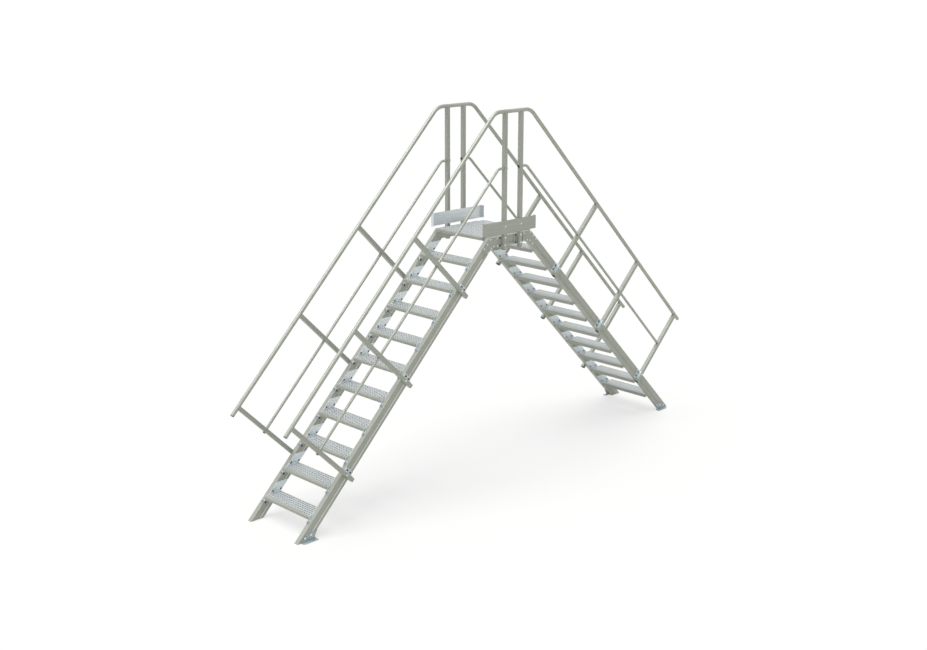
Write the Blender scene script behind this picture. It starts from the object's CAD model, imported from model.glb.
import math

import bmesh
import bpy
from mathutils import Matrix, Vector


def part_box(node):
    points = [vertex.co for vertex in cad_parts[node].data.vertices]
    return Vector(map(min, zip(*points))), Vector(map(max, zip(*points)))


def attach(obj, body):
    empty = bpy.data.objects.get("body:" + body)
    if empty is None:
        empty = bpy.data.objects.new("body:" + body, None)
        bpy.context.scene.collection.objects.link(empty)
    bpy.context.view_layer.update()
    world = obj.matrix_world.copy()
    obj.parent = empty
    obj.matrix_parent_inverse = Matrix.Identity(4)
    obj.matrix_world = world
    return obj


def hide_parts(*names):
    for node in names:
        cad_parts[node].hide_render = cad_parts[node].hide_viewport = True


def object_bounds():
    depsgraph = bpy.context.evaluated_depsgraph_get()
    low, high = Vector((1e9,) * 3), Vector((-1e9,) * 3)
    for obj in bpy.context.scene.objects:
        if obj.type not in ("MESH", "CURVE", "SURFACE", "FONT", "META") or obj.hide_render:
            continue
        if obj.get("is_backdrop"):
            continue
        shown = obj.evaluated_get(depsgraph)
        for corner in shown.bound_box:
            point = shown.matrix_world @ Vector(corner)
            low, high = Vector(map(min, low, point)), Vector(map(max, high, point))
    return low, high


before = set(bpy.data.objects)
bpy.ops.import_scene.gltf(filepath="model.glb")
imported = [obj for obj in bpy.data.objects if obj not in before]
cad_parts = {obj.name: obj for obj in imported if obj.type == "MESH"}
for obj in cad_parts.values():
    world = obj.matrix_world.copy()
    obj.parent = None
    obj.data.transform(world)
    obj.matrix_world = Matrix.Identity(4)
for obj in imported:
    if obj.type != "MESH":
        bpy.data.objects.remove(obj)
cad_low, cad_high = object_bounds()

# Stringers and deck beams: extruded aluminium profiles as they leave the
# press, with a bolt groove on both faces. The die leaves fine lines along
# them, and the saw bares a lighter edge at the mitres.
MM = 0.001
sides = {"near": -1, "far": 1}

# X runs along the walk, Y across it and Z up.
first_low, first_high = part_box("tread_right_1")
second_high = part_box("tread_right_2")[1]
rise = second_high.z - first_high.z
going = first_high.x - second_high.x
slope = math.atan2(rise, going)


def linear(code):
    """The linear colour of an sRGB hex value."""
    parts = [int(code[i:i + 2], 16) / 255 for i in (1, 3, 5)]
    return [c / 12.92 if c <= 0.04045 else ((c + 0.055) / 1.055) ** 2.4 for c in parts] + [1.0]


def link(tree, node, links):
    """Feeds inputs of a node from the outputs of others."""
    for name, (source, output) in links.items():
        tree.links.new(source.outputs[output], node.inputs[name])


def add(tree, kind, settings=None, links=None):
    """Adds a node, sets its attributes and sockets, and links its inputs."""
    node = tree.nodes.new("ShaderNode" + kind)
    for name, value in (settings or {}).items():
        if isinstance(name, str) and hasattr(node, name):
            setattr(node, name, value)
        else:
            node.inputs[name].default_value = value
    link(tree, node, links or {})
    return node


def new_material(name):
    """A material, its node tree, its shader and the piece's own coordinates."""
    material = bpy.data.materials.new(name)
    material.use_nodes = True
    tree = material.node_tree
    return material, tree, tree.nodes["Principled BSDF"], add(tree, "TexCoord")


def bare_edge(tree, radius, most):
    """How bare the metal is: most along the edges, and 0 on the flat."""
    rounded = add(tree, "Bevel", {"samples": 4, "Radius": radius})
    plain = add(tree, "NewGeometry")
    turned_by = add(tree, "VectorMath", {"operation": "DOT_PRODUCT"},
                    {0: (rounded, "Normal"), 1: (plain, "Normal")})
    return add(tree, "MapRange", {"From Min": 0.99, "From Max": 0.86, "To Min": 0.0, "To Max": most},
               {"Value": (turned_by, "Value")})


def metal(name, body, light, dark, turn, long_axis, line_mm, metallic, roughness, bump, wear=0.55):
    """A drawn, sheared or bent metal with lines along one axis, clouds and smears of handling."""
    line_length, cloud_width, smear_width = 180 * MM, 260 * MM, 35 * MM
    edge_radius, line_depth = 1.6 * MM, 0.25 * MM
    material, tree, shader, place = new_material(name)
    aligned = add(tree, "VectorRotate", {"rotation_type": "Y_AXIS", "Angle": turn},
                  {"Vector": (place, "Object")})
    stretch = [1 / (line_mm * MM)] * 3
    stretch[long_axis] = 1 / line_length
    stretched = add(tree, "Mapping", {"Scale": stretch}, {"Vector": (aligned, "Vector")})
    lines = add(tree, "TexNoise", {"Scale": 1.0, "Detail": 3.0, "Roughness": 0.6},
                {"Vector": (stretched, "Vector")})
    clouds = add(tree, "TexNoise", {"Scale": 1 / cloud_width, "Detail": 2.0},
                 {"Vector": (place, "Object")})
    smears = add(tree, "TexNoise", {"Scale": 1 / smear_width, "Detail": 4.0},
                 {"Vector": (place, "Object")})
    tone = add(tree, "ValToRGB", links={"Fac": (lines, "Fac")})
    for stop, position, code in zip(tone.color_ramp.elements, (0.3, 0.7), (dark, body)):
        stop.position = position
        stop.color = linear(code)
    clouded = add(tree, "Mix", {"data_type": "RGBA", "blend_type": "MULTIPLY", 0: 0.16},
                  {6: (tone, "Color"), 7: (clouds, "Fac")})
    edge = bare_edge(tree, edge_radius, wear)
    worn = add(tree, "Math", {"operation": "MULTIPLY"}, {0: (edge, "Result"), 1: (smears, "Fac")})
    colour = add(tree, "Mix", {"data_type": "RGBA", 7: linear(light)},
                 {0: (worn, "Value"), 6: (clouded, 2)})
    rough = add(tree, "MapRange", {"To Min": roughness - 0.07, "To Max": roughness + 0.09},
                {"Value": (smears, "Fac")})
    relief = add(tree, "Bump", {"Strength": bump, "Distance": line_depth}, {"Height": (lines, "Fac")})
    shader.inputs["Metallic"].default_value = metallic
    link(tree, shader, {
        "Base Color": (colour, 2), "Roughness": (rough, "Result"), "Normal": (relief, "Normal"),
    })
    return material


def coat(name, material):
    """Gives a CAD node its material."""
    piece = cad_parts[name]
    for spot in piece.material_slots:
        spot.link = "OBJECT"
        spot.material = material
    return piece


def dress(name, material, bevel):
    """Gives a CAD node its material and a small rounded edge."""
    piece = coat(name, material)
    weld = piece.modifiers.new("weld", "WELD")
    weld.merge_threshold = 0.01 * MM
    rounding = piece.modifiers.new("rounding", "BEVEL")
    rounding.width, rounding.segments = bevel, 2
    rounding.angle_limit = math.radians(35)


# Mill finish: a thin oxide skin dulls the metal to a pale, slightly green
# grey. Its die lines stand about 1 mm apart, and are drawn at 5 mm to show.
ALUMINIUM = {
    "body": "#b5b7ac", "light": "#e0e2db", "dark": "#abada1", "line_mm": 5,
    "metallic": 0.26, "roughness": 0.46, "bump": 0.05,
}
mill_right = metal("mill_finish_aluminium_right", turn=-slope, long_axis=0, **ALUMINIUM)
mill_left = metal("mill_finish_aluminium_left", turn=slope, long_axis=0, **ALUMINIUM)
mill_level = metal("mill_finish_aluminium_level", turn=0.0, long_axis=0, **ALUMINIUM)
profile_edge = 1.2 * MM
for side in sides:
    dress(f"stringer_left_{side}", mill_left, profile_edge)
    dress(f"stringer_right_{side}", mill_right, profile_edge)
    dress(f"deck_beam_{side}", mill_level, profile_edge)


# Knee plates: laser-cut aluminium plates on both faces of each knee, which
# bolt the sloping stringer to the level one. Their rolling marks, about 2 mm
# apart, are drawn at 9 mm to show as soft streaks.
rolled_plate = metal("rolled_aluminium_plate", turn=0.0, long_axis=0,
                     **{**ALUMINIUM, "line_mm": 9, "bump": 0.06})
plate_edge = 0.6 * MM
for side in sides:
    dress(f"knee_plates_{side}", rolled_plate, plate_edge)


# Posts: square aluminium tubes. The flight posts stand square to the slope,
# and each carries the handrail in a saddle at its top and the knee rail in a
# hole drilled right through.
square_tube_left = metal("square_aluminium_tube_left", turn=slope, long_axis=2, **ALUMINIUM)
square_tube_right = metal("square_aluminium_tube_right", turn=-slope, long_axis=2, **ALUMINIUM)
mill_upright = metal("mill_finish_aluminium_upright", turn=0.0, long_axis=2, **ALUMINIUM)
tube_edge = 1.0 * MM
for side in sides:
    dress(f"posts_left_{side}", square_tube_left, tube_edge)
    dress(f"posts_right_{side}", square_tube_right, tube_edge)
    dress(f"deck_posts_{side}", mill_upright, tube_edge)
post_low, post_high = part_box("deck_posts_far")
post_half = (post_high.y - post_low.y) / 2
post_x = post_high.x - post_half
post_face = post_high.y


# Handrails and knee rails: round drawn tube, bent cold. The bending rolls
# polish it a little smoother than the profiles, and its tone changes only
# slowly, over about 90 mm.
drawn_tube = metal("drawn_round_tube", turn=0.0, long_axis=0, **{
    **ALUMINIUM, "line_mm": 90, "metallic": 0.35, "roughness": 0.38, "bump": 0.0, "wear": 0.0,
})
for side in sides:
    coat(f"handrail_{side}", drawn_tube)
    coat(f"knee_rails_{side}", drawn_tube)


# Toe boards: folded aluminium sheet, rolled lengthways, and riveted to the
# deck posts with dome-head rivets. The far board's sheet is the brighter one.
# Rolling lines about 2 mm apart are drawn at 14 mm, as faint streaks.
toe_sheet = metal("folded_aluminium_sheet", turn=0.0, long_axis=0,
                  **{**ALUMINIUM, "line_mm": 14, "bump": 0.04})
bright_sheet = metal("folded_bright_aluminium_sheet", turn=0.0, long_axis=0, **{
    **ALUMINIUM, "body": "#f1f6f7", "dark": "#e4eaec", "line_mm": 14, "bump": 0.04,
    "metallic": 0.55, "roughness": 0.3,
})
fold_edge = 0.5 * MM
dress("toe_board_near", toe_sheet, fold_edge)
dress("toe_board_far", bright_sheet, fold_edge)


def finish_mesh(name, bm, material, smooth_angle=35):
    """Turns a bmesh into a piece that rides on the platform."""
    bmesh.ops.recalc_face_normals(bm, faces=bm.faces)
    mesh = bpy.data.meshes.new(name)
    bm.to_mesh(mesh)
    bm.free()
    mesh.shade_smooth()
    mesh.set_sharp_from_angle(angle=math.radians(smooth_angle))
    mesh.materials.append(material)
    piece = bpy.data.objects.new(name, mesh)
    bpy.context.scene.collection.objects.link(piece)
    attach(piece, "root")
    return piece


def turned(bm, place, profile, segments):
    """Adds a turned shape from (radius, height) pairs, on the Z axis of place."""
    turns = [2 * math.pi * i / segments for i in range(segments)]
    rings = []
    for radius, height in profile:
        if radius == 0:
            rings.append([bm.verts.new(place @ Vector((0, 0, height)))])
            continue
        rings.append([
            bm.verts.new(place @ Vector((radius * math.cos(t), radius * math.sin(t), height)))
            for t in turns
        ])
    for low, high in zip(rings, rings[1:]):
        for i in range(segments):
            j = (i + 1) % segments
            corners = [low[i % len(low)], low[j % len(low)], high[j % len(high)], high[i % len(high)]]
            bm.faces.new(list(dict.fromkeys(corners)))


def facing(point, direction):
    """A frame at point whose Z axis points in direction."""
    return Matrix.Translation(point) @ Vector(direction).to_track_quat("Z", "Y").to_matrix().to_4x4()


def rivet(bm, point, direction, radius, height):
    """Adds a low dome head, turned from its rim to its crown."""
    steps = [math.radians(degrees) for degrees in (0, 30, 60)]
    dome = [(radius * math.cos(t), height * math.sin(t)) for t in steps]
    turned(bm, facing(point, direction), [(0, 0)] + dome + [(0, height)], 18)


# Zinc plating is a bright bluish grey. The lines of a turned or forged head,
# under 0.5 mm apart, are drawn at 6 mm.
PLATED = {"turn": 0.0, "long_axis": 1, "line_mm": 6}
bright_zinc = metal("bright_zinc_plated_steel", body="#ffffff", light="#ffffff", dark="#eef0ee",
                    metallic=0.35, roughness=0.4, bump=0.03, **PLATED)
deck_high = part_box("deck")[1]
deck_z = deck_high.z
rivet_rise, fold_depth = 82 * MM, 30 * MM
rivets = bmesh.new()
for side in sides:
    board_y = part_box(f"toe_board_{side}")[0].y
    face_y = board_y if side == "near" else board_y + fold_depth
    for x in (post_low.x + post_half, post_x):
        rivet(rivets, (x, face_y, deck_z + rivet_rise), (0, -1, 0), radius=8 * MM, height=1.9 * MM)
finish_mesh("toe_board_rivets", rivets, bright_zinc)


# Key strips: a drawn aluminium strip with a 45 degree face lies in each
# groove of the stringers, between the foot and the knee, and keeps the dirt
# out. The left flight's strips are polished and shine almost white.
bright_key = metal("bright_drawn_key_strip", turn=0.0, long_axis=0, **{
    **ALUMINIUM, "body": "#ffffff", "dark": "#fbf6e8", "line_mm": 30, "metallic": 0.15, "bump": 0.02,
})
key_metals = {"left": bright_key, "right": mill_right}
ends = {"left": -1, "right": 1}
inner_y, outer_y = [corner.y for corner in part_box("stringer_right_far")]
nose_x = deck_high.x


def on_slope(a, w, y=0.0):
    """A point a down the right flight's nose line and w square to it."""
    return Vector((
        nose_x + a * math.cos(slope) + w * math.sin(slope),
        y,
        deck_z - a * math.sin(slope) + w * math.cos(slope),
    ))


def slope_a(x, z):
    """How far down the slope the point x, z of the right flight lies."""
    return (x - nose_x) * math.cos(slope) - (z - deck_z) * math.sin(slope)


def line_x(w, z):
    """X at height z of the line that lies w off the nose line."""
    return nose_x + (w - (z - deck_z) * math.cos(slope)) / math.sin(slope)


def mirrored(point, end, side):
    """The same point on the left or right flight and the near or far side."""
    return Vector((point.x * ends[end], point.y * sides[side], point.z))


groove_front, groove_rear, groove_deep = -92 * MM, -100 * MM, 4 * MM
strip_sunk, strip_play = 0.3 * MM, 0.5 * MM
knee_z, knee_gap, foot_z = 2145 * MM, 110 * MM, 10 * MM
knee_a = slope_a(line_x(groove_front, knee_z), knee_z) + knee_gap
section = [
    (groove_rear, strip_sunk), (groove_front - strip_play, groove_deep), (groove_rear, groove_deep),
]
for end in ends:
    strips = bmesh.new()
    for side in sides:
        for face, inward in ((inner_y, 1), (outer_y, -1)):
            knee_ring, foot_ring = [], []
            for w, deep in section:
                y = face + inward * deep
                foot_a = slope_a(line_x(w, foot_z), foot_z)
                knee_ring.append(strips.verts.new(mirrored(on_slope(knee_a, w, y), end, side)))
                foot_ring.append(strips.verts.new(mirrored(on_slope(foot_a, w, y), end, side)))
            strips.faces.new(knee_ring)
            strips.faces.new(foot_ring)
            for i in range(3):
                j = (i + 1) % 3
                strips.faces.new([knee_ring[i], knee_ring[j], foot_ring[j], foot_ring[i]])
    finish_mesh(f"groove_key_strips_{end}", strips, key_metals[end])


# Knee bolts: zinc-plated hexagon bolts on plain washers hold both plates
# through the profiles, four in the deck beam and four in the stringer.
def bolt(bm, point, direction, reach, across=13 * MM, washer=8.5 * MM):
    """Adds a washer and a hexagon head that stand reach off the point."""
    place = facing(point, direction)
    disc, disc_edge, head_edge = 1.4 * MM, 0.5 * MM, 0.9 * MM
    turned(bm, place, [
        (0, 0), (washer, 0), (washer, disc * 0.8), (washer - disc_edge, disc), (0, disc),
    ], 20)
    corner = across / 2 / math.cos(math.pi / 6)
    turned(bm, place, [
        (0, disc), (corner, disc), (corner, reach - head_edge), (corner * 0.88, reach), (0, reach),
    ], 6)


plate_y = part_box("knee_plates_far")[1].y
upper_z, upper_spots = 2225 * MM, (176 * MM, 262 * MM)
lower_z, lower_spots = 2158 * MM, (172 * MM, 222 * MM)
rear_row, rear_spots = -111 * MM, (27 * MM, 79 * MM)
front_row, front_spots = -50 * MM, (33 * MM, 85 * MM)
knee_spots = [Vector((x, 0, upper_z)) for x in upper_spots]
knee_spots += [Vector((x, 0, lower_z)) for x in lower_spots]
knee_spots += [on_slope(a, rear_row) for a in rear_spots]
knee_spots += [on_slope(a, front_row) for a in front_spots]
knee_bolts = bmesh.new()
for side, sign in sides.items():
    for end in ends:
        for spot in knee_spots:
            point = mirrored(spot, end, side)
            point.y = sign * plate_y
            bolt(knee_bolts, point, (0, sign, 0), reach=6.5 * MM, across=11 * MM, washer=7.5 * MM)
finish_mesh("knee_bolts", knee_bolts, bright_zinc)


# Post bolts: one holds each flight post to its stringer and two hold each
# deck post. The angle beside each post has two black bolts, whose passivated
# zinc looks dark and dull.
dark_zinc = metal("black_passivated_steel", body="#56595a", light="#7d8081", dark="#3c3e3f",
                  metallic=0.6, roughness=0.42, bump=0.05, **PLATED)
first_post_a, post_pitch = 533 * MM, 953 * MM
post_steps = [first_post_a + i * post_pitch for i in range(3)]
front_bolt_w, rear_bolt_w = -58 * MM, -102 * MM
deck_bolt_rows = (2226 * MM, 2156 * MM)
angle_t, angle_middle, angle_drop = 4 * MM, 22 * MM, 2 * MM
post_bolts = bmesh.new()
angle_bolts = bmesh.new()
for side, sign in sides.items():
    for end, flip in ends.items():
        outward = (0, sign, 0)
        post_y, angle_y = sign * post_face, sign * (outer_y + angle_t)
        for a in post_steps:
            point = mirrored(on_slope(a, front_bolt_w), end, side)
            point.y = post_y
            bolt(post_bolts, point, outward, reach=4.9 * MM)
            for w in (front_bolt_w, rear_bolt_w):
                point = mirrored(on_slope(a - post_half - angle_middle, w), end, side)
                point.y = angle_y
                bolt(angle_bolts, point, outward, reach=7.5 * MM)
        for z in deck_bolt_rows:
            bolt(post_bolts, (flip * post_x, post_y, z), outward, reach=4.9 * MM)
            angle_x = flip * post_x - post_half - angle_middle
            bolt(angle_bolts, (angle_x, angle_y, z - angle_drop), outward, reach=7.5 * MM)
finish_mesh("post_bolts", post_bolts, bright_zinc)
finish_mesh("angle_bolts", angle_bolts, dark_zinc)


# Angles and feet: folded from hot-dip galvanised sheet. The zinc sets in
# flat crystals of 8 to 20 mm, each a slightly different bluish grey. The
# angles beside the deck posts are plain aluminium.
def galvanised(name, body, light, dark, plain_above=None):
    """Hot-dip galvanised steel with its crystals, or plain aluminium above a height."""
    crystal_width, wave_width, wander = 14 * MM, 9 * MM, 0.004
    edge_radius, wave_depth = 1.4 * MM, 0.3 * MM
    material, tree, shader, place = new_material(name)
    wave = add(tree, "TexNoise", {"Scale": 1 / wave_width, "Detail": 2.0}, {"Vector": (place, "Object")})
    bent = add(tree, "Mix", {"data_type": "VECTOR", 0: wander}, {4: (place, "Object"), 5: (wave, "Color")})
    crystals = add(tree, "TexVoronoi", {"Scale": 1 / crystal_width}, {"Vector": (bent, 1)})
    tone = add(tree, "ValToRGB", links={"Fac": (crystals, "Color")})
    for stop, position, code in zip(tone.color_ramp.elements, (0.2, 0.8), (dark, body)):
        stop.position = position
        stop.color = linear(code)
    edge = bare_edge(tree, edge_radius, 0.5)
    colour = add(tree, "Mix", {"data_type": "RGBA", 7: linear(light)},
                 {0: (edge, "Result"), 6: (tone, "Color")})
    if plain_above is not None:
        height = add(tree, "SeparateXYZ", links={"Vector": (place, "Object")})
        above = add(tree, "Math", {"operation": "GREATER_THAN", 1: plain_above}, {0: (height, "Z")})
        colour = add(tree, "Mix", {"data_type": "RGBA", 7: linear("#b4b6ae")},
                     {0: (above, 0), 6: (colour, 2)})
    rough = add(tree, "MapRange", {"To Min": 0.34, "To Max": 0.56}, {"Value": (crystals, "Color")})
    relief = add(tree, "Bump", {"Strength": 0.15, "Distance": wave_depth}, {"Height": (wave, "Fac")})
    shader.inputs["Metallic"].default_value = 0.45
    link(tree, shader, {
        "Base Color": (colour, 2), "Roughness": (rough, "Result"), "Normal": (relief, "Normal"),
    })
    return material


# Angles above this height stand beside the deck posts.
deck_angles_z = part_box("deck_beam_far")[0].z - 20 * MM
angle_dip = galvanised("hot_dip_galvanised_angles", "#ced8d9", "#f6f9fa", "#c9d3d7", deck_angles_z)
dull_dip = galvanised("hot_dip_galvanised_steel_feet", "#b2bdbe", "#dbe2e3", "#9eaaab")
angle_edge, foot_edge = 0.6 * MM, 0.7 * MM
for side in sides:
    dress(f"post_brackets_{side}", angle_dip, angle_edge)
    for end in ends:
        dress(f"foot_{end}_{side}", dull_dip, foot_edge)


# Foot bolts: two zinc-plated bolts hold the upright leg of each foot to its
# stringer, one towards the front edge and one towards the rear.
foot_t = 5 * MM
foot_spots = ((48 * MM, -98 * MM), (38 * MM, -60 * MM))
foot_bolts = bmesh.new()
for side, sign in sides.items():
    for end, flip in ends.items():
        for z, w in foot_spots:
            point = (flip * line_x(w, z), sign * (outer_y + foot_t), z)
            bolt(foot_bolts, point, (0, sign, 0), reach=8 * MM)
finish_mesh("foot_bolts", foot_bolts, bright_zinc)


# End caps: moulded black polyethylene plugs, domed on the round tubes and
# flat with a rounded rim on the square posts. The mould's fine grain, about
# 0.2 mm, is drawn at 1.5 mm, and scuffs of about 18 mm dull the gloss.
polyethylene, tree, shader, place = new_material("moulded_polyethylene_black")
grain_width, scuff_width = 1.5 * MM, 18 * MM
grain = add(tree, "TexNoise", {"Scale": 1 / grain_width, "Detail": 2.0}, {"Vector": (place, "Object")})
scuffs = add(tree, "TexNoise", {"Scale": 1 / scuff_width, "Detail": 4.0}, {"Vector": (place, "Object")})
tone = add(tree, "ValToRGB", links={"Fac": (scuffs, "Fac")})
for stop, position, code in zip(tone.color_ramp.elements, (0.35, 0.75), ("#161718", "#2b2c2d")):
    stop.position = position
    stop.color = linear(code)
rough = add(tree, "MapRange", {"To Min": 0.42, "To Max": 0.6}, {"Value": (scuffs, "Fac")})
relief = add(tree, "Bump", {"Strength": 0.2, "Distance": 0.1 * MM}, {"Height": (grain, "Fac")})
shader.inputs["IOR"].default_value = 1.51
link(tree, shader, {
    "Base Color": (tone, "Color"), "Roughness": (rough, "Result"), "Normal": (relief, "Normal"),
})
cap_t, cap_edge = 4 * MM, 1.2 * MM


def domed_cap(bm, point, direction, radius):
    """Adds the cap of a round tube."""
    turned(bm, facing(point, direction), [
        (0, 0), (radius, 0), (radius, cap_t * 0.35), (radius * 0.93, cap_t * 0.7),
        (radius * 0.7, cap_t * 0.93), (0, cap_t),
    ], 28)


def block(bm, place, low, high, rounding=0.0):
    """Adds a box between two corners given in the frame of place."""
    low, high = Vector(low), Vector(high)
    size = Matrix.Diagonal((*(high - low), 1))
    centred = place @ Matrix.Translation((low + high) / 2) @ size
    made = bmesh.ops.create_cube(bm, size=1.0, matrix=centred)
    if rounding:
        edges = {edge for vert in made["verts"] for edge in vert.link_edges}
        bmesh.ops.bevel(bm, geom=list(edges), offset=rounding, segments=2, affect="EDGES", profile=0.5)


def square_cap(bm, place):
    """Adds the cap of a square post."""
    block(bm, place, (-post_half, -post_half, 0), (post_half, post_half, cap_t), cap_edge)


def axes_frame(point, along, across, up):
    """A frame at point with the three axes given."""
    return Matrix.Translation(point) @ Matrix((along, across, up)).transposed().to_4x4()


# Lower rail ends: how far down the slope, how far off the nose line, radius.
handrail_r, knee_rail_r = 17.5 * MM, 12.5 * MM
rail_ends = ((2526 * MM, 715 * MM, handrail_r), (2464.5 * MM, 332 * MM, knee_rail_r))
knee_rail_x, knee_rail_rise = 77 * MM, 602 * MM
post_end_w = -150 * MM
rail_y = outer_y + post_half
caps = bmesh.new()
for side, sign in sides.items():
    for end, flip in ends.items():
        for a, w, radius in rail_ends:
            point = mirrored(on_slope(a, w, rail_y), end, side)
            domed_cap(caps, point, (math.cos(slope) * flip, 0, -math.sin(slope)), radius)
        point = (flip * knee_rail_x, sign * rail_y, deck_z + knee_rail_rise)
        domed_cap(caps, point, (-flip, 0, 0), knee_rail_r)
        outward = Vector((-math.sin(slope) * flip, 0, -math.cos(slope)))
        across = Vector((0, 1, 0))
        for a in post_steps:
            point = mirrored(on_slope(a, post_end_w, rail_y), end, side)
            square_cap(caps, axes_frame(point, across.cross(outward), across, outward))
        square_cap(caps, Matrix.Translation((flip * post_x, sign * rail_y, post_low.z - cap_t)))
end_caps = finish_mesh("moulded_end_caps", caps, polyethylene)
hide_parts("end_caps")


# Tread brackets: pressed from galvanised sheet. Each has two slots and two
# small holes, a web beside the tread's nose, and a flange on the front of the
# stringer. The deck rests on a cleat of the same sheet.
def rounded_slot(centre, along, length, width):
    """Outline of a slot in X and Z, with round ends."""
    across = Vector((-along.y, along.x))
    half, radius = length / 2 - width / 2, width / 2
    turns = [math.pi * (i / 8 - 0.5) for i in range(9)]
    return [
        centre + way * (along * (half + math.cos(t) * radius) + across * math.sin(t) * radius)
        for way in (1, -1) for t in turns
    ]


def cut_sheet(name, outlines, y, thick):
    """A sheet part in a plane of constant Y, from outlines and those of their holes."""
    edge = 0.25 * MM
    curve = bpy.data.curves.new(name, "CURVE")
    curve.dimensions = "2D"
    curve.fill_mode = "BOTH"
    curve.extrude = thick / 2 - edge
    curve.bevel_depth = edge
    curve.bevel_resolution = 0
    curve.offset = -edge
    for outline in outlines:
        spline = curve.splines.new("POLY")
        spline.points.add(len(outline) - 1)
        spline.use_cyclic_u = True
        for point, corner in zip(spline.points, outline):
            point.co = (corner.x, corner.y, 0, 1)
    flat = bpy.data.objects.new(name + "_flat", curve)
    bpy.context.scene.collection.objects.link(flat)
    flat.matrix_world = Matrix.Translation((0, y, 0)) @ Matrix.Rotation(math.pi / 2, 4, "X")
    bpy.context.view_layer.update()
    mesh = bpy.data.meshes.new_from_object(flat.evaluated_get(bpy.context.evaluated_depsgraph_get()))
    mesh.transform(flat.matrix_world)
    bpy.data.objects.remove(flat)
    bm = bmesh.new()
    bm.from_mesh(mesh)
    bpy.data.meshes.remove(mesh)
    bmesh.ops.remove_doubles(bm, verts=bm.verts, dist=0.01 * MM)
    return bm


# The plates' zinc is bright, and the flanges' is duller from handling.
hot_dip = galvanised("hot_dip_galvanised_steel", "#eff4f6", "#ffffff", "#dbe4e8")
flange_dip = galvanised("hot_dip_galvanised_flanges", "#b9bfc4", "#dde2e6", "#a8afb5")
zinc = metal("zinc_plated_steel", body="#b3b9bb", light="#dfe4e5", dark="#979ea1",
             metallic=0.5, roughness=0.38, bump=0.05, **PLATED)
TREADS = 10

# Lines called w lie square to the nose line, and drops are below a tread's top.
front_w, rear_w = -34 * MM, -126 * MM
tread_y = deck_high.y
plate_t = inner_y - tread_y
plate_top, plate_drop, web_drop = 90 * MM, 30 * MM, 43 * MM
edge_play, nose_play = 2 * MM, 6 * MM
fixing_rise, slot_lines, hole_lines = 22 * MM, (-50 * MM, -110 * MM), (-70 * MM, -88 * MM)
slot_size, hole_size = (26 * MM, 8 * MM), (6.2 * MM, 6 * MM)
end_bolt_w, end_bolt_drop = -50 * MM, 60 * MM
flange_t, flange_start, flange_length, flange_reach = 3 * MM, 8 * MM, 48 * MM, 22 * MM
flange_bolt_a, flange_bolt_y, flange_edge = 30 * MM, 11 * MM, 0.5 * MM
cleat_half, cleat_drop = 140 * MM, 70 * MM
bracket_bolts = bmesh.new()
end_bolts = bmesh.new()
for side, sign in sides.items():
    outlines = []
    flanges = []
    for n in range(TREADS):
        z = first_high.z + n * rise
        x = nose_x + (TREADS - n) * going
        top, low, web = z + plate_top, z - plate_drop, z - web_drop
        for end, flip in ends.items():
            plate = [
                (line_x(front_w - edge_play, top), top), (line_x(front_w, z), z), (x - nose_play, z),
                (x - nose_play, web), (line_x(front_w - edge_play, web), web),
                (line_x(rear_w + edge_play, low), low), (line_x(rear_w + edge_play, top), top),
            ]
            outlines.append([Vector((px * flip, pz)) for px, pz in plate])
            along = Vector((math.cos(slope) * flip, -math.sin(slope)))
            fixing_z = z + fixing_rise
            for w in slot_lines:
                centre = Vector((line_x(w, fixing_z) * flip, fixing_z))
                outlines.append(rounded_slot(centre, along, *slot_size))
                bolt(end_bolts, (centre.x, sign * tread_y, fixing_z), (0, -sign, 0),
                     reach=6 * MM, across=10 * MM, washer=6 * MM)
            for w in hole_lines:
                centre = Vector((line_x(w, fixing_z) * flip, fixing_z))
                outlines.append(rounded_slot(centre, along, *hole_size))
            bolt_z = z - end_bolt_drop
            point = (line_x(end_bolt_w, bolt_z) * flip, sign * inner_y, bolt_z)
            bolt(end_bolts, point, (0, -sign, 0), reach=7 * MM)
            start = slope_a(x, z) + flange_start
            point = on_slope(start + flange_bolt_a, front_w + flange_t, inner_y + flange_bolt_y)
            outward = (math.sin(slope) * flip, 0, math.cos(slope))
            bolt(bracket_bolts, mirrored(point, end, side), outward, reach=14 * MM)
            flanges.append((flip, start))
    outlines.append([Vector(corner) for corner in (
        (-cleat_half, deck_z - cleat_drop), (cleat_half, deck_z - cleat_drop),
        (cleat_half, deck_z), (-cleat_half, deck_z),
    )])
    sheet = cut_sheet(f"bracket_sheet_{side}", outlines, sign * (tread_y + plate_t / 2), plate_t)
    plate_faces = set(sheet.faces)
    for flip, start in flanges:
        along = Vector((math.cos(slope) * flip, 0, -math.sin(slope)))
        outward = Vector((math.sin(slope) * flip, 0, math.cos(slope)))
        on_flight = axes_frame((flip * nose_x, 0, deck_z), along, Vector((0, sign, 0)), outward)
        block(sheet, on_flight, (start, tread_y, front_w),
              (start + flange_length, inner_y + flange_reach, front_w + flange_t), flange_edge)
    for face in set(sheet.faces) - plate_faces:
        face.material_index = 1
    brackets = finish_mesh(f"pressed_brackets_{side}", sheet, hot_dip, 25)
    brackets.data.materials.append(flange_dip)
    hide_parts(f"tread_brackets_{side}")
finish_mesh("bracket_bolts", bracket_bolts, zinc)
finish_mesh("tread_end_bolts", end_bolts, dark_zinc)


# Treads: a punched aluminium plank between a ribbed nose and a folded rear
# lip. The punching leaves rows of rounded openings, the nose has shallow
# grooves along it, and two ribs stiffen the plank from below.
# The punched top is brighter, greyer and less glossy than the mill finish.
tread_metal = metal("punched_aluminium_plank", turn=0.0, long_axis=1, **{
    **ALUMINIUM, "body": "#d8dbda", "dark": "#c9cccb", "roughness": 0.5, "bump": 0.08,
})
nose_metal = metal("ribbed_nose_aluminium", turn=0.0, long_axis=1, **ALUMINIUM)
sheet_t, collar = 3.5 * MM, 12 * MM
nose_depth, lip_h, lip_foot = 24 * MM, 30 * MM, 14 * MM


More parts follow.
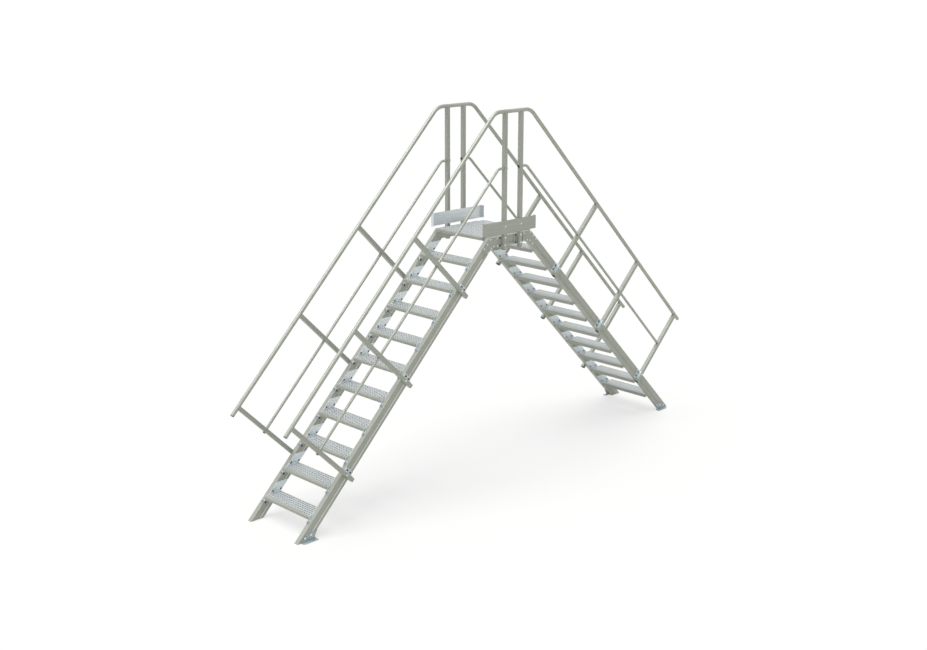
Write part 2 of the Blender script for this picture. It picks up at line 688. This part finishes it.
def extruded(bm, outline, shift=0.0, flip=1):
    """Adds an outline drawn in X and Z over the tread's width, in the second material."""
    ring = [bm.verts.new((flip * x + shift, -tread_y, z)) for x, z in outline]
    face = bm.faces.new(ring)
    before = set(bm.faces) - {face}
    made = bmesh.ops.extrude_face_region(bm, geom=[face], use_keep_orig=True)
    moved = [v for v in made["geom"] if isinstance(v, bmesh.types.BMVert)]
    bmesh.ops.translate(bm, verts=moved, vec=(0, 2 * tread_y, 0))
    for face in set(bm.faces) - before:
        face.material_index = 1


def nose_outline():
    """Nose section: a rounded front with a groove, and two grooves on top against slipping."""
    radius, foot_back = 6 * MM, 4 * MM
    front_z, front_half, front_slope, front_deep = -17 * MM, 2 * MM, 1 * MM, 0.8 * MM
    top_x, top_pitch, top_width, top_slope, top_deep = -9 * MM, 6 * MM, 2.6 * MM, 0.6 * MM, 1.1 * MM
    outline = [
        (-nose_depth, -lip_h), (-foot_back, -lip_h), (-foot_back, sheet_t - lip_h), (0, sheet_t - lip_h),
        (0, front_z - front_half), (-front_deep, front_z - front_half + front_slope),
        (-front_deep, front_z + front_half - front_slope), (0, front_z + front_half),
    ]
    for i in range(5):
        t = math.radians(i * 22.5)
        outline.append((-radius + radius * math.cos(t), -radius + radius * math.sin(t)))
    for i in range(2):
        x = top_x - i * top_pitch
        outline += [
            (x, 0), (x - top_slope, -top_deep), (x - top_width + top_slope, -top_deep), (x - top_width, 0),
        ]
    return outline + [(-nose_depth, 0)]


def punched(bm, x0, x1):
    """Adds a sheet with rounded openings between x0 and x1, inside the tread's end walls."""
    y0, y1 = -tread_y + sheet_t, tread_y - sheet_t
    rows, columns = round((x1 - x0) / (24 * MM)), round((y1 - y0) / (31 * MM))
    pitch_x, pitch_y = (x1 - x0) / rows, (y1 - y0) / columns
    land_x, land_y, radius = 3.6 * MM, 8.6 * MM, 3.5 * MM
    arc_x, arc_y = pitch_x / 2 - land_x - radius, pitch_y / 2 - land_y - radius
    quarters = [(1, 1), (-1, 1), (-1, -1), (1, -1)]
    faces = []
    for i in range(rows):
        for j in range(columns):
            cx, cy = x0 + (i + 0.5) * pitch_x, y0 + (j + 0.5) * pitch_y
            corners, arcs = [], []
            for k, (sx, sy) in enumerate(quarters):
                corners.append(bm.verts.new((cx + sx * pitch_x / 2, cy + sy * pitch_y / 2, 0)))
                turns = [math.radians(90 * k + 45 * m) for m in range(3)]
                arcs.append([bm.verts.new((
                    cx + sx * arc_x + radius * math.cos(t), cy + sy * arc_y + radius * math.sin(t), 0,
                )) for t in turns])
            for k in range(4):
                after = (k + 1) % 4
                faces.append(bm.faces.new([corners[k], arcs[k][1], arcs[k][0]]))
                faces.append(bm.faces.new([corners[k], arcs[k][2], arcs[k][1]]))
                faces.append(bm.faces.new([corners[k], corners[after], arcs[after][0], arcs[k][2]]))
    bmesh.ops.remove_doubles(bm, verts=list({v for f in faces for v in f.verts}), dist=0.01 * MM)
    faces = [f for f in faces if f.is_valid]
    made = bmesh.ops.extrude_face_region(bm, geom=faces, use_keep_orig=True)
    moved = [v for v in made["geom"] if isinstance(v, bmesh.types.BMVert)]
    bmesh.ops.translate(bm, verts=moved, vec=(0, 0, -collar))


def walls_and_ribs(bm, x0, x1, ribs, rib_t, rib_drop):
    """Adds the two end walls of a plank and the ribs below it."""
    level, wall_drop = Matrix.Identity(4), 22 * MM
    for sign in (-1, 1):
        low_y, high_y = sorted((sign * tread_y, sign * (tread_y - sheet_t)))
        block(bm, level, (x0, low_y, -wall_drop), (x1, high_y, 0))
    for x in ribs:
        block(bm, level, (x - rib_t / 2, -tread_y + sheet_t, -rib_drop),
              (x + rib_t / 2, tread_y - sheet_t, -collar))


tread_depth = first_high.x - first_low.x
plank_rear, plank_front = -tread_depth + sheet_t, -nose_depth
tread_bm = bmesh.new()
punched(tread_bm, plank_rear, plank_front)
extruded(tread_bm, nose_outline())
extruded(tread_bm, [
    (-tread_depth, 0), (plank_rear, 0), (plank_rear, sheet_t - lip_h),
    (lip_foot - tread_depth, sheet_t - lip_h), (lip_foot - tread_depth, -lip_h), (-tread_depth, -lip_h),
])
walls_and_ribs(tread_bm, plank_rear, plank_front, (-84 * MM, -130 * MM), rib_t=3 * MM, rib_drop=20 * MM)
for end, flip in ends.items():
    for n in range(TREADS):
        tread = finish_mesh(f"punched_tread_{end}_{n + 1}", tread_bm.copy(), tread_metal, 30)
        tread.data.materials.append(nose_metal)
        spot = Vector((flip * (nose_x + (TREADS - n) * going), 0, first_high.z + n * rise))
        turn = Matrix.Rotation(0 if flip > 0 else math.pi, 4, "Z")
        tread.data.transform(Matrix.Translation(spot) @ turn)
        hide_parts(f"tread_{end}_{n + 1}")


# Deck: the same punched plank with a nose at both ends, made of the same
# aluminium, and stiffened by four deeper ribs.
deck_front = nose_x - nose_depth
deck_bm = bmesh.new()
punched(deck_bm, -deck_front, deck_front)
for flip in (-1, 1):
    extruded(deck_bm, nose_outline(), shift=flip * nose_x, flip=flip)
deck_ribs = [x * MM for x in (-180, -60, 60, 180)]
walls_and_ribs(deck_bm, -deck_front, deck_front, deck_ribs, rib_t=4 * MM, rib_drop=26 * MM)
bmesh.ops.translate(deck_bm, verts=deck_bm.verts, vec=(0, 0, deck_z))
deck_plank = finish_mesh("punched_deck", deck_bm, tread_metal, 30)
deck_plank.data.materials.append(nose_metal)
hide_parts("deck")


# Floor: white studio paper. It is white to the eye and to the metal, which
# mirrors it, and keeps a third of the shadow that falls on it.
def in_sight(tree):
    """1 for rays of the eye, of mirrors and of glass, and 0 for soft light."""
    path = add(tree, "LightPath")
    seen = add(tree, "Math", {"operation": "ADD"}, {0: (path, "Is Camera Ray"), 1: (path, "Is Glossy Ray")})
    return add(tree, "Math", {"operation": "ADD", "use_clamp": True},
               {0: (seen, 0), 1: (path, "Is Transmission Ray")})


floor_gap, glow_share = 0.5 * MM, 0.67
half_size = 60
floor_mesh = bpy.data.meshes.new("floor")
corners = [(x * half_size, y * half_size, 0) for x, y in ((-1, -1), (1, -1), (1, 1), (-1, 1))]
floor_mesh.from_pydata(corners, [], [(0, 1, 2, 3)])
floor = bpy.data.objects.new("floor", floor_mesh)
floor.location.z = cad_low.z - floor_gap
bpy.context.scene.collection.objects.link(floor)
floor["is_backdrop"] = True
paper = bpy.data.materials.new("white_studio_floor")
paper.use_nodes = True
tree = paper.node_tree
tree.nodes.clear()
matt = add(tree, "BsdfDiffuse", {"Color": linear("#f4f2ea")})
white = add(tree, "Emission", {"Color": linear("#ffffff"), "Strength": 1.0})
share = add(tree, "Math", {"operation": "MULTIPLY", 1: glow_share}, {0: (in_sight(tree), 0)})
mixed = add(tree, "MixShader", links={0: (share, 0), 1: (matt, 0), 2: (white, 0)})
add(tree, "OutputMaterial", links={"Surface": (mixed, 0)})
floor_mesh.materials.append(paper)


# Light: one large soft lamp nearly overhead, a little to the left, and a dim
# bluish sky that is white where it is seen.
world = bpy.data.worlds.new("studio_sky")
bpy.context.scene.world = world
world.use_nodes = True
tree = world.node_tree
tree.nodes.clear()
dim = add(tree, "Background", {"Color": linear("#edf3ff"), "Strength": 0.3})
bright = add(tree, "Background", {"Color": linear("#ffffff"), "Strength": 1.0})
sky = add(tree, "MixShader", links={0: (in_sight(tree), 0), 1: (dim, 0), 2: (bright, 0)})
add(tree, "OutputWorld", links={"Surface": (sky, 0)})

lamp_data = bpy.data.lights.new("soft_lamp", "SUN")
lamp_data.energy = 2.95
lamp_data.color = (0.95, 0.98, 1.0)
lamp_data.angle = math.radians(50)
towards_lamp = (-0.2, 0.06, 0.97)
lamp = bpy.data.objects.new("soft_lamp", lamp_data)
lamp.matrix_world = facing((0, 0, 6), towards_lamp)
bpy.context.scene.collection.objects.link(lamp)
bpy.context.scene.view_settings.view_transform = "Standard"


# Camera: it stands left of the platform and in front of it, four and a half
# metres up, and looks down a little.
eye = (-8.288, -8.059, 4.455)
yaw, pitch, roll = math.radians(45.945), math.radians(-15.529), math.radians(-0.16)
forward = Vector((
    math.cos(yaw) * math.cos(pitch),
    math.sin(yaw) * math.cos(pitch),
    math.sin(pitch),
))
level_right = Vector((math.sin(yaw), -math.cos(yaw), 0))
level_up = level_right.cross(forward)
camera_right = math.cos(roll) * level_right + math.sin(roll) * level_up
camera_up = math.cos(roll) * level_up - math.sin(roll) * level_right
camera_data = bpy.data.cameras.new("camera")
camera_data.sensor_width = 36
camera_data.lens = 49.37
camera_data.shift_x, camera_data.shift_y = 0.01986, 0.00868
camera_data.clip_end = 200
camera = bpy.data.objects.new("camera", camera_data)
camera.matrix_world = axes_frame(eye, camera_right, camera_up, -forward)
bpy.context.scene.collection.objects.link(camera)
bpy.context.scene.camera = camera

low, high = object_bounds()
